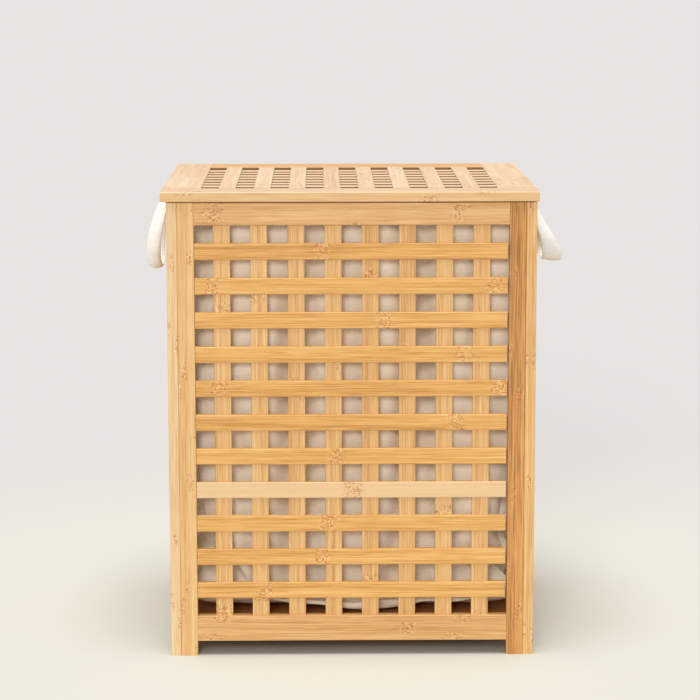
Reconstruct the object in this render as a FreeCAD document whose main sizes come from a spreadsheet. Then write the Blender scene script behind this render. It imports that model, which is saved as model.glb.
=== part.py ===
"""Laundry hamper with a hinged lid: four bamboo lattice panels, a lattice lid, a base and a cloth liner.

Frame: +Z up, the front faces -Y, the origin lies on the floor at the middle of the hamper.
Lengths are in millimetres. Every size is a cell of the sheet "sizes"; what fits to it is worked out.
"""
import os

import FreeCAD
import Part
import Sketcher

NODES = []
doc = FreeCAD.newDocument("hamper")

# ---------------------------------------------------------------- driving sizes
SIZES = [
    ("body_width", 392, "outside width over the two side panels"),
    ("body_depth", 342, "outside depth over the front and back panels"),
    ("body_top", 492.4, "floor to the top edge of the panels"),
    ("panel_thick", 11, "thickness of every stile and rail"),
    ("front_stile", 18, "face width of the front and back stiles"),
    ("side_stile", 29, "face width of the side stiles"),
    ("top_rail", 23.9, "height of the top rails"),
    ("bottom_rail", 28, "height of the bottom rails"),
    ("leg_clearance", 16.2, "floor to the underside of the bottom rails"),
    ("cross_count", 11, "level slats in a panel"),
    ("cross_height", 17.5, "face width of a level slat"),
    ("cross_recess", 1, "panel face back to the level slats"),
    ("cross_left_play", 0.3, "left stile to the ends of the level slats"),
    ("cross_right_play", 1.8, "right stile to the ends of the level slats"),
    ("upright_width", 18.2, "face width of an upright slat"),
    ("upright_recess", 2.5, "panel face back to the upright slats"),
    ("upright_end_gap", 20, "stile to the nearest upright slat"),
    ("front_uprights", 8, "upright slats in the front and back panels"),
    ("side_uprights", 7, "upright slats in the side panels"),
    ("slat_thick", 7, "thickness of every panel slat"),
    ("lap_play", 0.1, "slack each side of a halved crossing"),
    ("edge_ease", 1, "radius of the eased long edges"),
    ("base_top", 40, "floor to the top of the base board"),
    ("base_thick", 5, "thickness of the base board"),
    ("base_play", 0.5, "base board and cleats to the panels' inner faces"),
    ("cleat_side", 12, "square section of the cleats under the base"),
    ("lid_gap", 1.2, "panel tops to the underside of the lid"),
    ("lid_thick", 10.4, "thickness of the lid frame"),
    ("lid_side_overhang", 4, "how far the lid would stand out over each side if it sat in the middle"),
    ("lid_shift", -2, "sideways set of the lid on its hinges"),
    ("lid_overhang", 4, "how far the lid stands out over the front"),
    ("lid_side", 41, "width of the lid's side members"),
    ("lid_rail", 45, "depth of the lid's front and back rails"),
    ("bar_count", 8, "front-to-back bars in the lid"),
    ("bar_width", 18.2, "width of a lid bar"),
    ("lid_slat_count", 7, "left-to-right slats in the lid"),
    ("lid_slat_width", 17.5, "width of a lid slat"),
    ("lid_slat_recess", 1.2, "lid top down to the lid slats"),
    ("lid_slat_end_gap", 26.5, "lid rail to the nearest lid slat"),
    ("lid_slat_thick", 7, "thickness of the lid bars and slats"),
    ("lid_slat_ease", 0.3, "radius of the lid slats' barely eased edges"),
    ("hinge_spacing", 220, "between the middles of the two hinges"),
    ("hinge_length", 40, "length of a hinge"),
    ("leaf_depth", 9, "how far a hinge leaf reaches in over the panel"),
    ("leaf_thick", 0.5, "thickness of a hinge leaf"),
    ("barrel_radius", 2, "outside radius of the hinge knuckles"),
    ("barrel_play", 0.2, "hinge knuckles to the wood beside them"),
    ("knuckle_play", 0.3, "between neighbouring knuckles"),
    ("pin_radius", 1, "radius of the hinge pin"),
    ("pin_play", 0.05, "radial slack of the pin in its knuckles"),
    ("pin_head_radius", 1.6, "radius of the pin's peened ends"),
    ("pin_head_length", 0.8, "length of the pin's peened ends"),
    ("hinge_screw_spacing", 24, "between the two screws of a leaf"),
    ("screw_play", 0.05, "slack round every screw"),
    ("corner_screw_end", 60, "panel top or floor to the nearest corner screw"),
    ("dowel_radius", 3, "radius of the dowels in the frame joints"),
    ("dowel_length", 24, "length of the dowels"),
    ("dowel_play", 0.05, "radial slack and half the end slack of a dowel"),
    ("liner_clearance", 1.2, "liner to the panels' inner faces"),
    ("liner_wall", 2.5, "thickness of the liner's solid wall"),
    ("liner_drop", 3, "panel tops down to the liner's rim"),
    ("liner_corner", 16, "outside radius of the liner's corners"),
    ("cloth_play", 0.2, "cloth to whatever it lies on"),
    ("tape_width", 25, "width of the handle tape"),
    ("tape_thick", 0.7, "thickness of the handle tape"),
    ("tape_spacing", 84, "between the middles of a handle's two ends"),
    ("tape_tail", 45, "length of tape sewn down inside the liner"),
    ("handle_drop", 86, "panel tops down to the bottom of a handle"),
    ("handle_reach", 40, "side panel out to the far edge of a handle"),
    ("handle_band", 18, "level breadth of a hanging handle's band"),
    ("handle_fold", 20, "height of the fold across the bottom of a handle"),
    ("handle_root", 3, "thickness of a handle's band where it leaves its tape"),
    ("handle_crown_reach", 17.2, "side panel out to the crown of a handle"),
    ("handle_crown_drop", 8, "panel tops down to the crown of a handle"),
    ("handle_shoulder_reach", 21.2, "side panel out to the shoulder below the crown"),
    ("handle_shoulder_drop", 14, "panel tops down to that shoulder"),
    ("handle_tip", 7, "height of the slope across a handle's lowest outer corner"),
    ("handle_tip_round", 2, "level breadth of that slope"),
]
SCREWS = {
    "corner": {"head": 3.6, "shank": 2, "length": 26, "sink": 2.2, "tip": 4, "socket": 1.6, "bite": 1.4},
    "cleat": {"head": 3.2, "shank": 1.6, "length": 17, "sink": 2, "tip": 4, "socket": 1.4, "bite": 1.2},
    "hinge": {"head": 1.9, "shank": 1, "length": 8, "sink": 0.8, "tip": 2, "socket": 0.9, "bite": 0.5},
}

sheet = doc.addObject("Spreadsheet::Sheet", "sizes")


def write_size(row, alias, value, note):
    """One size: its name, its value with that alias, and what it is."""
    sheet.set("A%d" % row, alias)
    sheet.set("B%d" % row, str(value))
    sheet.setAlias("B%d" % row, alias)
    sheet.set("C%d" % row, note)


for number, (alias, value, note) in enumerate(SIZES, 1):
    write_size(number, alias, value, note)
row = len(SIZES)
for kind, measures in SCREWS.items():
    for measure, value in measures.items():
        row += 1
        write_size(row, "%s_screw_%s" % (kind, measure), value, "%s of a %s screw" % (measure, kind))
doc.recompute()


# ---------------------------------------------------------------- the ways pieces are made
def size(alias):
    """The number in a cell, for counts and for what cannot be bound to an expression."""
    return float(sheet.get(alias))


def bind(thing, **expressions):
    for name, text in expressions.items():
        thing.setExpression(name, text)


def put(thing, low):
    """Bind the three coordinates of a placement."""
    for axis, text in zip("xyz", low):
        thing.setExpression(".Placement.Base." + axis, text)


def box(name, low, lengths):
    piece = doc.addObject("Part::Box", name)
    bind(piece, Length=lengths[0], Width=lengths[1], Height=lengths[2])
    put(piece, low)
    return piece


def eased(piece, axis, radius, name):
    """Round the four edges of a box that run along one axis."""
    doc.recompute()
    chosen = []
    for number, edge in enumerate(piece.Shape.Edges, 1):
        run = edge.Vertexes[1].Point - edge.Vertexes[0].Point
        if abs(run["xyz".index(axis)]) > 0.99 * run.Length:
            chosen.append((number, radius, radius))
    rounded = doc.addObject("Part::Fillet", name)
    rounded.Base = piece
    rounded.Edges = chosen
    return rounded


def board(name, low, lengths, axis, ease="edge_ease"):
    """A straight board with its long edges eased."""
    return eased(box(name + "_blank", low, lengths), axis, size(ease), name)


def joined(name, pieces):
    if len(pieces) == 1:
        return pieces[0]
    union = doc.addObject("Part::MultiFuse", name)
    union.Shapes = pieces
    return union


def cut(name, base, tools):
    piece = doc.addObject("Part::Cut", name)
    piece.Base = base
    piece.Tool = joined(name + "_tools", tools)
    return piece


def node(label, piece):
    """Name a finished sub-part."""
    piece.Label = label
    NODES.append(piece)
    return piece


TURNS = {
    "+x": FreeCAD.Rotation(FreeCAD.Vector(0, 1, 0), 90),
    "-x": FreeCAD.Rotation(FreeCAD.Vector(0, 1, 0), -90),
    "+y": FreeCAD.Rotation(FreeCAD.Vector(1, 0, 0), -90),
    "-y": FreeCAD.Rotation(FreeCAD.Vector(1, 0, 0), 90),
    "+z": FreeCAD.Rotation(),
    "-z": FreeCAD.Rotation(FreeCAD.Vector(1, 0, 0), 180),
}


def round_piece(kind, name, start, way, **expressions):
    """A cylinder, cone or prism that starts at a point and runs along one of the six ways."""
    piece = doc.addObject("Part::" + kind, name)
    piece.Placement = FreeCAD.Placement(FreeCAD.Vector(), TURNS[way])
    bind(piece, **expressions)
    put(piece, start)
    return piece


def shifted(start, way, step):
    """A point moved along one of the six ways."""
    moved = list(start)
    index = "xyz".index(way[1])
    moved[index] = "%s %s (%s)" % (moved[index], way[0], step)
    return moved


def screw_outline(name, kind, start, way, play):
    """A countersunk head, a shank and a point; the head's face is at the start."""
    cell = "sizes.%s_screw_" % kind
    head = round_piece("Cone", name + "_head", start, way, Radius1=cell + "head + " + play,
                       Radius2=cell + "shank + " + play, Height=cell + "sink")
    shank = round_piece("Cylinder", name + "_shank", start, way, Radius=cell + "shank + " + play,
                        Height=cell + "length - " + cell + "tip")
    point = round_piece("Cone", name + "_point", shifted(start, way, cell + "length - " + cell + "tip"),
                        way, Radius1=cell + "shank + " + play, Radius2=cell + "shank / 5 + " + play,
                        Height=cell + "tip + " + play)
    return joined(name, [head, shank, point])


def screw(name, kind, start, way):
    cell = "sizes.%s_screw_" % kind
    socket = round_piece("Prism", name + "_socket", start, way, Circumradius=cell + "socket",
                         Height=cell + "bite")
    return cut(name, screw_outline(name + "_body", kind, start, way, "0"), [socket])


def screw_hole(name, kind, start, way):
    return screw_outline(name, kind, start, way, "sizes.screw_play")


def dowel(name, start, way, play="0"):
    """A dowel, or with play its hole, from one end."""
    return round_piece("Cylinder", name, shifted(start, way, "-1 * " + play), way,
                       Radius="sizes.dowel_radius + " + play,
                       Height="sizes.dowel_length + 2 * " + play)


# ---------------------------------------------------------------- places that several pieces share
HALF_WIDTH = "sizes.body_width / 2"
HALF_DEPTH = "sizes.body_depth / 2"
INNER_WIDTH = "(sizes.body_width - 2 * sizes.panel_thick)"
INNER_DEPTH = "(sizes.body_depth - 2 * sizes.panel_thick)"
RAIL_TOP = "(sizes.leg_clearance + sizes.bottom_rail)"
OPENING_TOP = "(sizes.body_top - sizes.top_rail)"
OPENING_HEIGHT = "(%s - %s)" % (OPENING_TOP, RAIL_TOP)
CROSS_GAP = "((%s - sizes.cross_count * sizes.cross_height) / (sizes.cross_count + 1))" % OPENING_HEIGHT
LAP_PLANE = "((sizes.upright_recess + sizes.cross_recess + sizes.slat_thick) / 2)"
LID_UNDER = "(sizes.body_top + sizes.lid_gap)"
LID_TOP = "(%s + sizes.lid_thick)" % LID_UNDER
LID_WIDTH = "(sizes.body_width + 2 * sizes.lid_side_overhang)"
LID_LEFT = "(sizes.lid_shift - %s / 2)" % LID_WIDTH
LID_RIGHT_MEMBER = "(%s + %s - sizes.lid_side)" % (LID_LEFT, LID_WIDTH)
LID_FRONT = "(-sizes.body_depth / 2 - sizes.lid_overhang)"
LID_DEPTH = "(sizes.body_depth + sizes.lid_overhang)"
LID_INNER_LENGTH = "(%s - 2 * sizes.lid_rail)" % LID_DEPTH
LID_INNER_WIDTH = "(%s - 2 * sizes.lid_side)" % LID_WIDTH


# ---------------------------------------------------------------- the four lattice panels
def on_side(side, along, across, up):
    """Turn a panel's own measures, each a start and a length, into a corner and three lengths.

    along runs across the panel's width from its middle, across runs in from its outer face.
    """
    facing = {
        "front": "-%s + %s" % (HALF_DEPTH, across[0]),
        "back": "%s - (%s) - %s" % (HALF_DEPTH, across[0], across[1]),
        "left": "-%s + %s" % (HALF_WIDTH, across[0]),
        "right": "%s - (%s) - %s" % (HALF_WIDTH, across[0], across[1]),
    }[side]
    if side in ("front", "back"):
        return (along[0], facing, up[0]), (along[1], across[1], up[1])
    return (facing, along[0], up[0]), (across[1], along[1], up[1])


def corner_screw_places():
    """Where the screws go in: side, end of that side, start point and way."""
    heights = ("sizes.corner_screw_end", "(sizes.body_top / 2)",
               "(sizes.body_top - sizes.corner_screw_end)")
    for side, start, way in (("left", "-" + HALF_WIDTH, "+x"), ("right", HALF_WIDTH, "-x")):
        for end, middle in (("front", "-(%s - sizes.panel_thick / 2)" % HALF_DEPTH),
                            ("back", "(%s - sizes.panel_thick / 2)" % HALF_DEPTH)):
            for level, height in enumerate(heights):
                yield side, end, level, (start, middle, height), way


def panel_dowels(side, stile, half, play="0"):
    """The dowels, or their holes, between one panel's rails and stiles: end, rail and piece."""
    middles = {"front": "-(%s - sizes.panel_thick / 2)" % HALF_DEPTH,
               "back": "(%s - sizes.panel_thick / 2)" % HALF_DEPTH,
               "left": "-(%s - sizes.panel_thick / 2)" % HALF_WIDTH,
               "right": "(%s - sizes.panel_thick / 2)" % HALF_WIDTH}
    rails = {"top": "(sizes.body_top - sizes.top_rail / 2)",
             "bottom": "(sizes.leg_clearance + sizes.bottom_rail / 2)"}
    for end, sign in (("low", "-"), ("high", "+")):
        joint = "0 %s (%s - sizes.%s)" % (sign, half, stile)
        for rail, height in rails.items():
            name = "%s_%s_%s_dowel" % (side, end, rail) + ("_hole" if play != "0" else "")
            begin = joint + " - sizes.dowel_length / 2"
            if side in ("front", "back"):
                yield end, rail, dowel(name, (begin, middles[side], height), "+x", play)
            else:
                yield end, rail, dowel(name, (middles[side], begin, height), "+y", play)


def panel(side, half, stile, uprights, end_names):
    """Two stiles, two rails, the level slats and, halved into them from behind, the uprights."""
    inner = "(%s - sizes.%s)" % (half, stile)
    full = ("0", "sizes.panel_thick")
    grain = "x" if side in ("front", "back") else "y"
    holes = list(panel_dowels(side, stile, half, "sizes.dowel_play"))
    for end, along in (("low", "-" + half), ("high", inner)):
        name = "%s_stile_%s" % (side, end_names[end])
        blank = board(name + "_board",
                      *on_side(side, (along, "sizes." + stile), full, ("0", "sizes.body_top")), "z")
        tools = [hole for hole_end, _, hole in holes if hole_end == end]
        for screw_side, screw_end, level, start, way in corner_screw_places():
            if side in ("left", "right"):
                meets = screw_side == side and screw_end == end_names[end]
            else:
                meets = screw_end == side and screw_side == end_names[end]
            if meets:
                tools.append(screw_hole("%s_screw_hole_%d" % (name, level), "corner", start, way))
        node(name, cut(name + "_cut", blank, tools))
    for rail, height, start in (("top", "sizes.top_rail", OPENING_TOP),
                                ("bottom", "sizes.bottom_rail", "sizes.leg_clearance")):
        name = "%s_%s_rail" % (side, rail)
        blank = board(name + "_board",
                      *on_side(side, ("-" + inner, "2 * " + inner), full, (start, height)), grain)
        tools = [hole for _, hole_rail, hole in holes if hole_rail == rail]
        if rail == "bottom":
            tools += [screw_hole(name + "_cleat_hole_%d" % turn, "cleat", start, way)
                      for turn, start, way in cleat_screw_places(side)]
        if side == "back" and rail == "top":
            tools += [screw_hole(name + "_hinge_hole_%d" % turn, "hinge", start, "-z")
                      for turn, start in hinge_screw_places("sizes.body_top + sizes.leaf_thick")]
        node(name, cut(name + "_cut", blank, tools))

    upright_step = ("((2 * %s - 2 * sizes.upright_end_gap - sizes.upright_width) / (sizes.%s - 1))"
                    % (inner, uprights))
    upright_starts = ["-%s + sizes.upright_end_gap + %d * %s" % (inner, number, upright_step)
                      for number in range(int(size(uprights)))]
    cross_starts = ["%s + %d * (%s + sizes.cross_height) + %s" % (RAIL_TOP, number, CROSS_GAP, CROSS_GAP)
                    for number in range(int(size("cross_count")))]
    cross_along = ("-%s + sizes.cross_left_play" % inner,
                   "2 * %s - sizes.cross_left_play - sizes.cross_right_play" % inner)
    level = [board("%s_level_%d" % (side, number + 1),
                   *on_side(side, cross_along, ("sizes.cross_recess", "sizes.slat_thick"),
                            (start, "sizes.cross_height")), grain)
             for number, start in enumerate(cross_starts)]
    upright = [board("%s_upright_%d" % (side, number + 1),
                     *on_side(side, (start, "sizes.upright_width"),
                              ("sizes.upright_recess", "sizes.slat_thick"), (RAIL_TOP, OPENING_HEIGHT)), "z")
               for number, start in enumerate(upright_starts)]
    level_notches = [box("%s_level_notch_%d" % (side, number + 1),
                         *on_side(side, (start + " - sizes.lap_play",
                                         "sizes.upright_width + 2 * sizes.lap_play"),
                                  (LAP_PLANE, "sizes.slat_thick"), (RAIL_TOP, OPENING_HEIGHT)))
                     for number, start in enumerate(upright_starts)]
    upright_notches = [box("%s_upright_notch_%d" % (side, number + 1),
                           *on_side(side, ("-" + inner, "2 * " + inner),
                                    ("0", LAP_PLANE), (start + " - sizes.lap_play",
                                                       "sizes.cross_height + 2 * sizes.lap_play")))
                       for number, start in enumerate(cross_starts)]
    node(side + "_level_slats",
         cut(side + "_level_cut", joined(side + "_level_set", level), level_notches))
    node(side + "_upright_slats",
         cut(side + "_upright_cut", joined(side + "_upright_set", upright), upright_notches))


def cleat_screw_places(side):
    """Two screws from inside through each cleat into the bottom rail behind it."""
    height = "sizes.base_top - sizes.base_thick - sizes.cleat_side / 2"
    reach = "sizes.panel_thick + sizes.base_play + sizes.cleat_side"
    span = INNER_WIDTH if side in ("front", "back") else INNER_DEPTH
    for turn, sign in enumerate("-+"):
        along = "0 %s %s / 4" % (sign, span)
        start, way = {
            "front": ((along, "-%s + %s" % (HALF_DEPTH, reach), height), "-y"),
            "back": ((along, "%s - (%s)" % (HALF_DEPTH, reach), height), "+y"),
            "left": (("-%s + %s" % (HALF_WIDTH, reach), along, height), "-x"),
            "right": (("%s - (%s)" % (HALF_WIDTH, reach), along, height), "+x"),
        }[side]
        yield turn, start, way


def hinge_screw_places(height):
    """Two screws for each of the two hinges, on the middle line of the leaves."""
    middle = "%s - sizes.leaf_depth / 2" % HALF_DEPTH
    turn = 0
    for side in "-+":
        for end in "-+":
            along = "0 %s sizes.hinge_spacing / 2 %s sizes.hinge_screw_spacing / 2" % (side, end)
            yield turn, (along, middle, height)
            turn += 1


ACROSS = {"low": "left", "high": "right"}
DEEP = {"low": "front", "high": "back"}
PANELS = {
    "front": ("(%s / 2)" % INNER_WIDTH, "front_stile", "front_uprights", ACROSS),
    "back": ("(%s / 2)" % INNER_WIDTH, "front_stile", "front_uprights", ACROSS),
    "left": (HALF_DEPTH, "side_stile", "side_uprights", DEEP),
    "right": (HALF_DEPTH, "side_stile", "side_uprights", DEEP),
}
for side, (half, stile, uprights, end_names) in PANELS.items():
    panel(side, half, stile, uprights, end_names)
node("panel_dowels", joined("panel_dowel_set", [
    piece for side, (half, stile, _, _) in PANELS.items()
    for _, _, piece in panel_dowels(side, stile, half)]))
node("corner_screws", joined("corner_screw_set", [
    screw("corner_screw_%s_%s_%d" % (side, end, level), "corner", start, way)
    for side, end, level, start, way in corner_screw_places()]))


# ---------------------------------------------------------------- the base on its four cleats
CLEAT_LOW = "(sizes.base_top - sizes.base_thick - sizes.cleat_side)"
SIDE_CLEAT = "(%s - 2 * sizes.base_play)" % INNER_DEPTH
CROSS_CLEAT = "(%s - 4 * sizes.base_play - 2 * sizes.cleat_side)" % INNER_WIDTH
CLEATS = {"front": CROSS_CLEAT, "back": CROSS_CLEAT, "left": SIDE_CLEAT, "right": SIDE_CLEAT}

node("base_board", box("base_board_blank",
                       ("-%s / 2 + sizes.base_play" % INNER_WIDTH, "-%s / 2 + sizes.base_play" % INNER_DEPTH,
                        "sizes.base_top - sizes.base_thick"),
                       (INNER_WIDTH + " - 2 * sizes.base_play", INNER_DEPTH + " - 2 * sizes.base_play",
                        "sizes.base_thick")))
cleat_screws = []
for side, run in CLEATS.items():
    name = "base_cleat_" + side
    blank = board(name + "_board", *on_side(side, ("-%s / 2" % run, run),
                                            ("sizes.panel_thick + sizes.base_play", "sizes.cleat_side"),
                                            (CLEAT_LOW, "sizes.cleat_side")),
                  "x" if side in ("front", "back") else "y")
    node(name, cut(name + "_cut", blank, [screw_hole("%s_hole_%d" % (name, turn), "cleat", start, way)
                                          for turn, start, way in cleat_screw_places(side)]))
    cleat_screws += [screw("%s_screw_%d" % (name, turn), "cleat", start, way)
                     for turn, start, way in cleat_screw_places(side)]
node("cleat_screws", joined("cleat_screw_set", cleat_screws))


# ---------------------------------------------------------------- the lid
def lid_dowels(play="0"):
    """Two dowels at each corner of the lid frame: side, rail and piece.

    The side members butt against the long front rail, and the back rail fits between them.
    """
    middle = "%s + sizes.lid_thick / 2" % LID_UNDER
    behind = "%s + sizes.lid_rail - sizes.dowel_length / 2" % LID_FRONT
    for side, start in (("left", LID_LEFT), ("right", LID_RIGHT_MEMBER)):
        joint = "%s + sizes.lid_side" % LID_LEFT if side == "left" else LID_RIGHT_MEMBER
        for place in (1, 3):
            tag = "%s_%d" % (side, place) + ("_hole" if play != "0" else "")
            along = "%s + %d * sizes.lid_side / 4" % (start, place)
            yield side, "front", dowel("lid_front_dowel_" + tag, (along, behind, middle), "+y", play)
            across = "%s - sizes.lid_rail + %d * sizes.lid_rail / 4" % (HALF_DEPTH, place)
            yield side, "back", dowel("lid_back_dowel_" + tag,
                                      (joint + " - sizes.dowel_length / 2", across, middle), "+x", play)


lid_holes = list(lid_dowels("sizes.dowel_play"))
for side, start in (("left", LID_LEFT), ("right", LID_RIGHT_MEMBER)):
    name = "lid_side_" + side
    blank = board(name + "_board", (start, LID_FRONT + " + sizes.lid_rail", LID_UNDER),
                  ("sizes.lid_side", LID_DEPTH + " - sizes.lid_rail", "sizes.lid_thick"), "y")
    node(name, cut(name + "_cut", blank, [hole for hole_side, _, hole in lid_holes if hole_side == side]))
for rail, low, length in (("front", (LID_LEFT, LID_FRONT, LID_UNDER), LID_WIDTH),
                          ("back", (LID_LEFT + " + sizes.lid_side", "%s - sizes.lid_rail" % HALF_DEPTH,
                                    LID_UNDER), LID_INNER_WIDTH)):
    name = "lid_rail_" + rail
    blank = board(name + "_board", low, (length, "sizes.lid_rail", "sizes.lid_thick"), "x")
    tools = [hole for _, hole_rail, hole in lid_holes if hole_rail == rail]
    if rail == "back":
        tools += [screw_hole("lid_hinge_hole_%d" % turn, "hinge", place, "+z")
                  for turn, place in hinge_screw_places(LID_UNDER + " - sizes.leaf_thick")]
    node(name, cut(name + "_cut", blank, tools))
node("lid_dowels", joined("lid_dowel_set", [piece for _, _, piece in lid_dowels()]))

BAR_GAP = "((%s - sizes.bar_count * sizes.bar_width) / (sizes.bar_count + 1))" % LID_INNER_WIDTH
LID_SLAT_STEP = ("((%s - 2 * sizes.lid_slat_end_gap - sizes.lid_slat_width) / (sizes.lid_slat_count - 1))"
                 % LID_INNER_LENGTH)
LID_LAP = "(%s - (sizes.lid_slat_recess + sizes.lid_slat_thick) / 2)" % LID_TOP
bar_starts = ["%s + sizes.lid_side + %s + %d * (%s + sizes.bar_width)" % (LID_LEFT, BAR_GAP, number, BAR_GAP)
              for number in range(int(size("bar_count")))]
slat_starts = ["%s + sizes.lid_rail + sizes.lid_slat_end_gap + %d * %s" % (LID_FRONT, number, LID_SLAT_STEP)
               for number in range(int(size("lid_slat_count")))]
for number, start in enumerate(bar_starts, 1):
    name = "lid_bar_%d" % number
    blank = board(name + "_board",
                  (start, LID_FRONT + " + sizes.lid_rail", LID_TOP + " - sizes.lid_slat_thick"),
                  ("sizes.bar_width", LID_INNER_LENGTH, "sizes.lid_slat_thick"), "y")
    notches = [box("%s_notch_%d" % (name, turn),
                   (start, place + " - sizes.lap_play", LID_LAP + " - sizes.lid_slat_thick"),
                   ("sizes.bar_width", "sizes.lid_slat_width + 2 * sizes.lap_play", "sizes.lid_slat_thick"))
               for turn, place in enumerate(slat_starts)]
    node(name, cut(name + "_cut", blank, notches))
lid_slats = [board("lid_slat_%d" % number,
                   (LID_LEFT + " + sizes.lid_side", place,
                    LID_TOP + " - sizes.lid_slat_recess - sizes.lid_slat_thick"),
                   (LID_INNER_WIDTH, "sizes.lid_slat_width", "sizes.lid_slat_thick"), "x", "lid_slat_ease")
             for number, place in enumerate(slat_starts, 1)]
slat_notches = [box("lid_slat_notch_%d" % number,
                    (start + " - sizes.lap_play", LID_FRONT, LID_LAP),
                    ("sizes.bar_width + 2 * sizes.lap_play", LID_DEPTH, "sizes.lid_slat_thick"))
                for number, start in enumerate(bar_starts, 1)]
node("lid_cross_slats", cut("lid_slat_cut", joined("lid_slat_set", lid_slats), slat_notches))


# ---------------------------------------------------------------- the two hinges
HINGE_Y = "(%s + sizes.barrel_play + sizes.barrel_radius)" % HALF_DEPTH
HINGE_Z = "(sizes.body_top + sizes.lid_gap / 2)"
KNUCKLE = "((sizes.hinge_length - 2 * sizes.knuckle_play) / 3)"
LEAF_FRONT = "%s - sizes.leaf_depth" % HALF_DEPTH


def hinge_leaf(name, left, low, knuckles, screw_way, screw_height):
    """A flat leaf that ends in rolled knuckles, with two countersunk holes."""
    solids = [box(name + "_plate", (left, LEAF_FRONT, low),
                  ("sizes.hinge_length", "sizes.leaf_depth", "sizes.leaf_thick"))]
    for number in knuckles:
        start = "%s + %d * (%s + sizes.knuckle_play)" % (left, number, KNUCKLE)
        solids.append(box("%s_tongue_%d" % (name, number), (start, LEAF_FRONT, low),
                          (KNUCKLE, "%s - (%s)" % (HINGE_Y, LEAF_FRONT), "sizes.leaf_thick")))
        solids.append(round_piece("Cylinder", "%s_knuckle_%d" % (name, number),
                                  (start, HINGE_Y, HINGE_Z), "+x",
                                  Radius="sizes.barrel_radius", Height=KNUCKLE))
    tools = [round_piece("Cylinder", name + "_bore", (left + " - 1", HINGE_Y, HINGE_Z), "+x",
                         Radius="sizes.pin_radius + sizes.pin_play", Height="sizes.hinge_length + 2")]
    tools += [screw_hole("%s_hole_%d" % (name, turn), "hinge", place, screw_way)
              for turn, place in hinge_screw_places(screw_height)]
    return cut(name, joined(name + "_solids", solids), tools)


BODY_HEADS = "sizes.body_top + sizes.leaf_thick"
LID_HEADS = LID_UNDER + " - sizes.leaf_thick"
for side, sign in (("left", "-"), ("right", "+")):
    left = "0 %s sizes.hinge_spacing / 2 - sizes.hinge_length / 2" % sign
    node("hinge_body_leaf_" + side,
         hinge_leaf("body_leaf_" + side, left, "sizes.body_top", (0, 2), "-z", BODY_HEADS))
    node("hinge_lid_leaf_" + side,
         hinge_leaf("lid_leaf_" + side, left, LID_HEADS, (1,), "+z", LID_HEADS))
    pin_left = "%s - sizes.knuckle_play" % left
    shaft = round_piece("Cylinder", "pin_shaft_" + side, (pin_left, HINGE_Y, HINGE_Z), "+x",
                        Radius="sizes.pin_radius", Height="sizes.hinge_length + 2 * sizes.knuckle_play")
    heads = [round_piece("Cylinder", "pin_head_low_" + side,
                         (pin_left + " - sizes.pin_head_length", HINGE_Y, HINGE_Z), "+x",
                         Radius="sizes.pin_head_radius", Height="sizes.pin_head_length"),
             round_piece("Cylinder", "pin_head_high_" + side,
                         (left + " + sizes.hinge_length + sizes.knuckle_play", HINGE_Y, HINGE_Z), "+x",
                         Radius="sizes.pin_head_radius", Height="sizes.pin_head_length")]
    node("hinge_pin_" + side, joined("pin_" + side, [shaft] + heads))
node("hinge_body_screws", joined("body_screw_set", [
    screw("hinge_body_screw_%d" % turn, "hinge", place, "-z")
    for turn, place in hinge_screw_places(BODY_HEADS)]))
node("hinge_lid_screws", joined("lid_screw_set", [
    screw("hinge_lid_screw_%d" % turn, "hinge", place, "+z")
    for turn, place in hinge_screw_places(LID_HEADS)]))


# ---------------------------------------------------------------- the cloth liner and its two handles
LINER_HALF_WIDTH = "(%s / 2 - sizes.liner_clearance)" % INNER_WIDTH
LINER_HALF_DEPTH = "(%s / 2 - sizes.liner_clearance)" % INNER_DEPTH
LINER_LOW = "(sizes.base_top + sizes.cloth_play)"
LINER_RIM = "(sizes.body_top - sizes.liner_drop)"

outside = eased(box("liner_outside", ("-" + LINER_HALF_WIDTH, "-" + LINER_HALF_DEPTH, LINER_LOW),
                    ("2 * " + LINER_HALF_WIDTH, "2 * " + LINER_HALF_DEPTH, LINER_RIM + " - " + LINER_LOW)),
                "z", size("liner_corner"), "liner_outer")
inside = eased(box("liner_inside", ("-%s + sizes.liner_wall" % LINER_HALF_WIDTH,
                                    "-%s + sizes.liner_wall" % LINER_HALF_DEPTH,
                                    LINER_LOW + " + sizes.liner_wall"),
                   ("2 * (%s - sizes.liner_wall)" % LINER_HALF_WIDTH,
                    "2 * (%s - sizes.liner_wall)" % LINER_HALF_DEPTH, LINER_RIM)),
               "z", size("liner_corner") - size("liner_wall"), "liner_inner")
node("liner_bag", cut("liner_cut", outside, [inside]))

TAPE_LOW = "(sizes.body_top + sizes.cloth_play)"
TAPE_INSIDE = "(%s - sizes.liner_wall - sizes.cloth_play - sizes.tape_thick)" % LINER_HALF_WIDTH
TAPE_EDGE = "(%s + sizes.tape_thick + 2 * sizes.cloth_play)" % HALF_WIDTH


def handle_tape(side):
    """The two ends of a handle: sewn down inside the liner, then out over the side panel."""
    tapes = []
    for end, sign in enumerate("-+"):
        along = "0 %s sizes.tape_spacing / 2 - sizes.tape_width / 2" % sign
        inner = TAPE_INSIDE if side == "right" else "-%s - sizes.tape_thick" % TAPE_INSIDE
        outer = TAPE_INSIDE if side == "right" else "-" + TAPE_EDGE
        tapes.append(box("%s_tape_tail_%d" % (side, end),
                         (inner, along, "sizes.body_top - sizes.tape_tail"),
                         ("sizes.tape_thick", "sizes.tape_width",
                          "%s - sizes.body_top + sizes.tape_tail" % TAPE_LOW)))
        tapes.append(box("%s_tape_over_%d" % (side, end), (outer, along, TAPE_LOW),
                         ("%s - %s" % (TAPE_EDGE, TAPE_INSIDE), "sizes.tape_width", "sizes.tape_thick")))
    return joined("tape_" + side, tapes)


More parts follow.
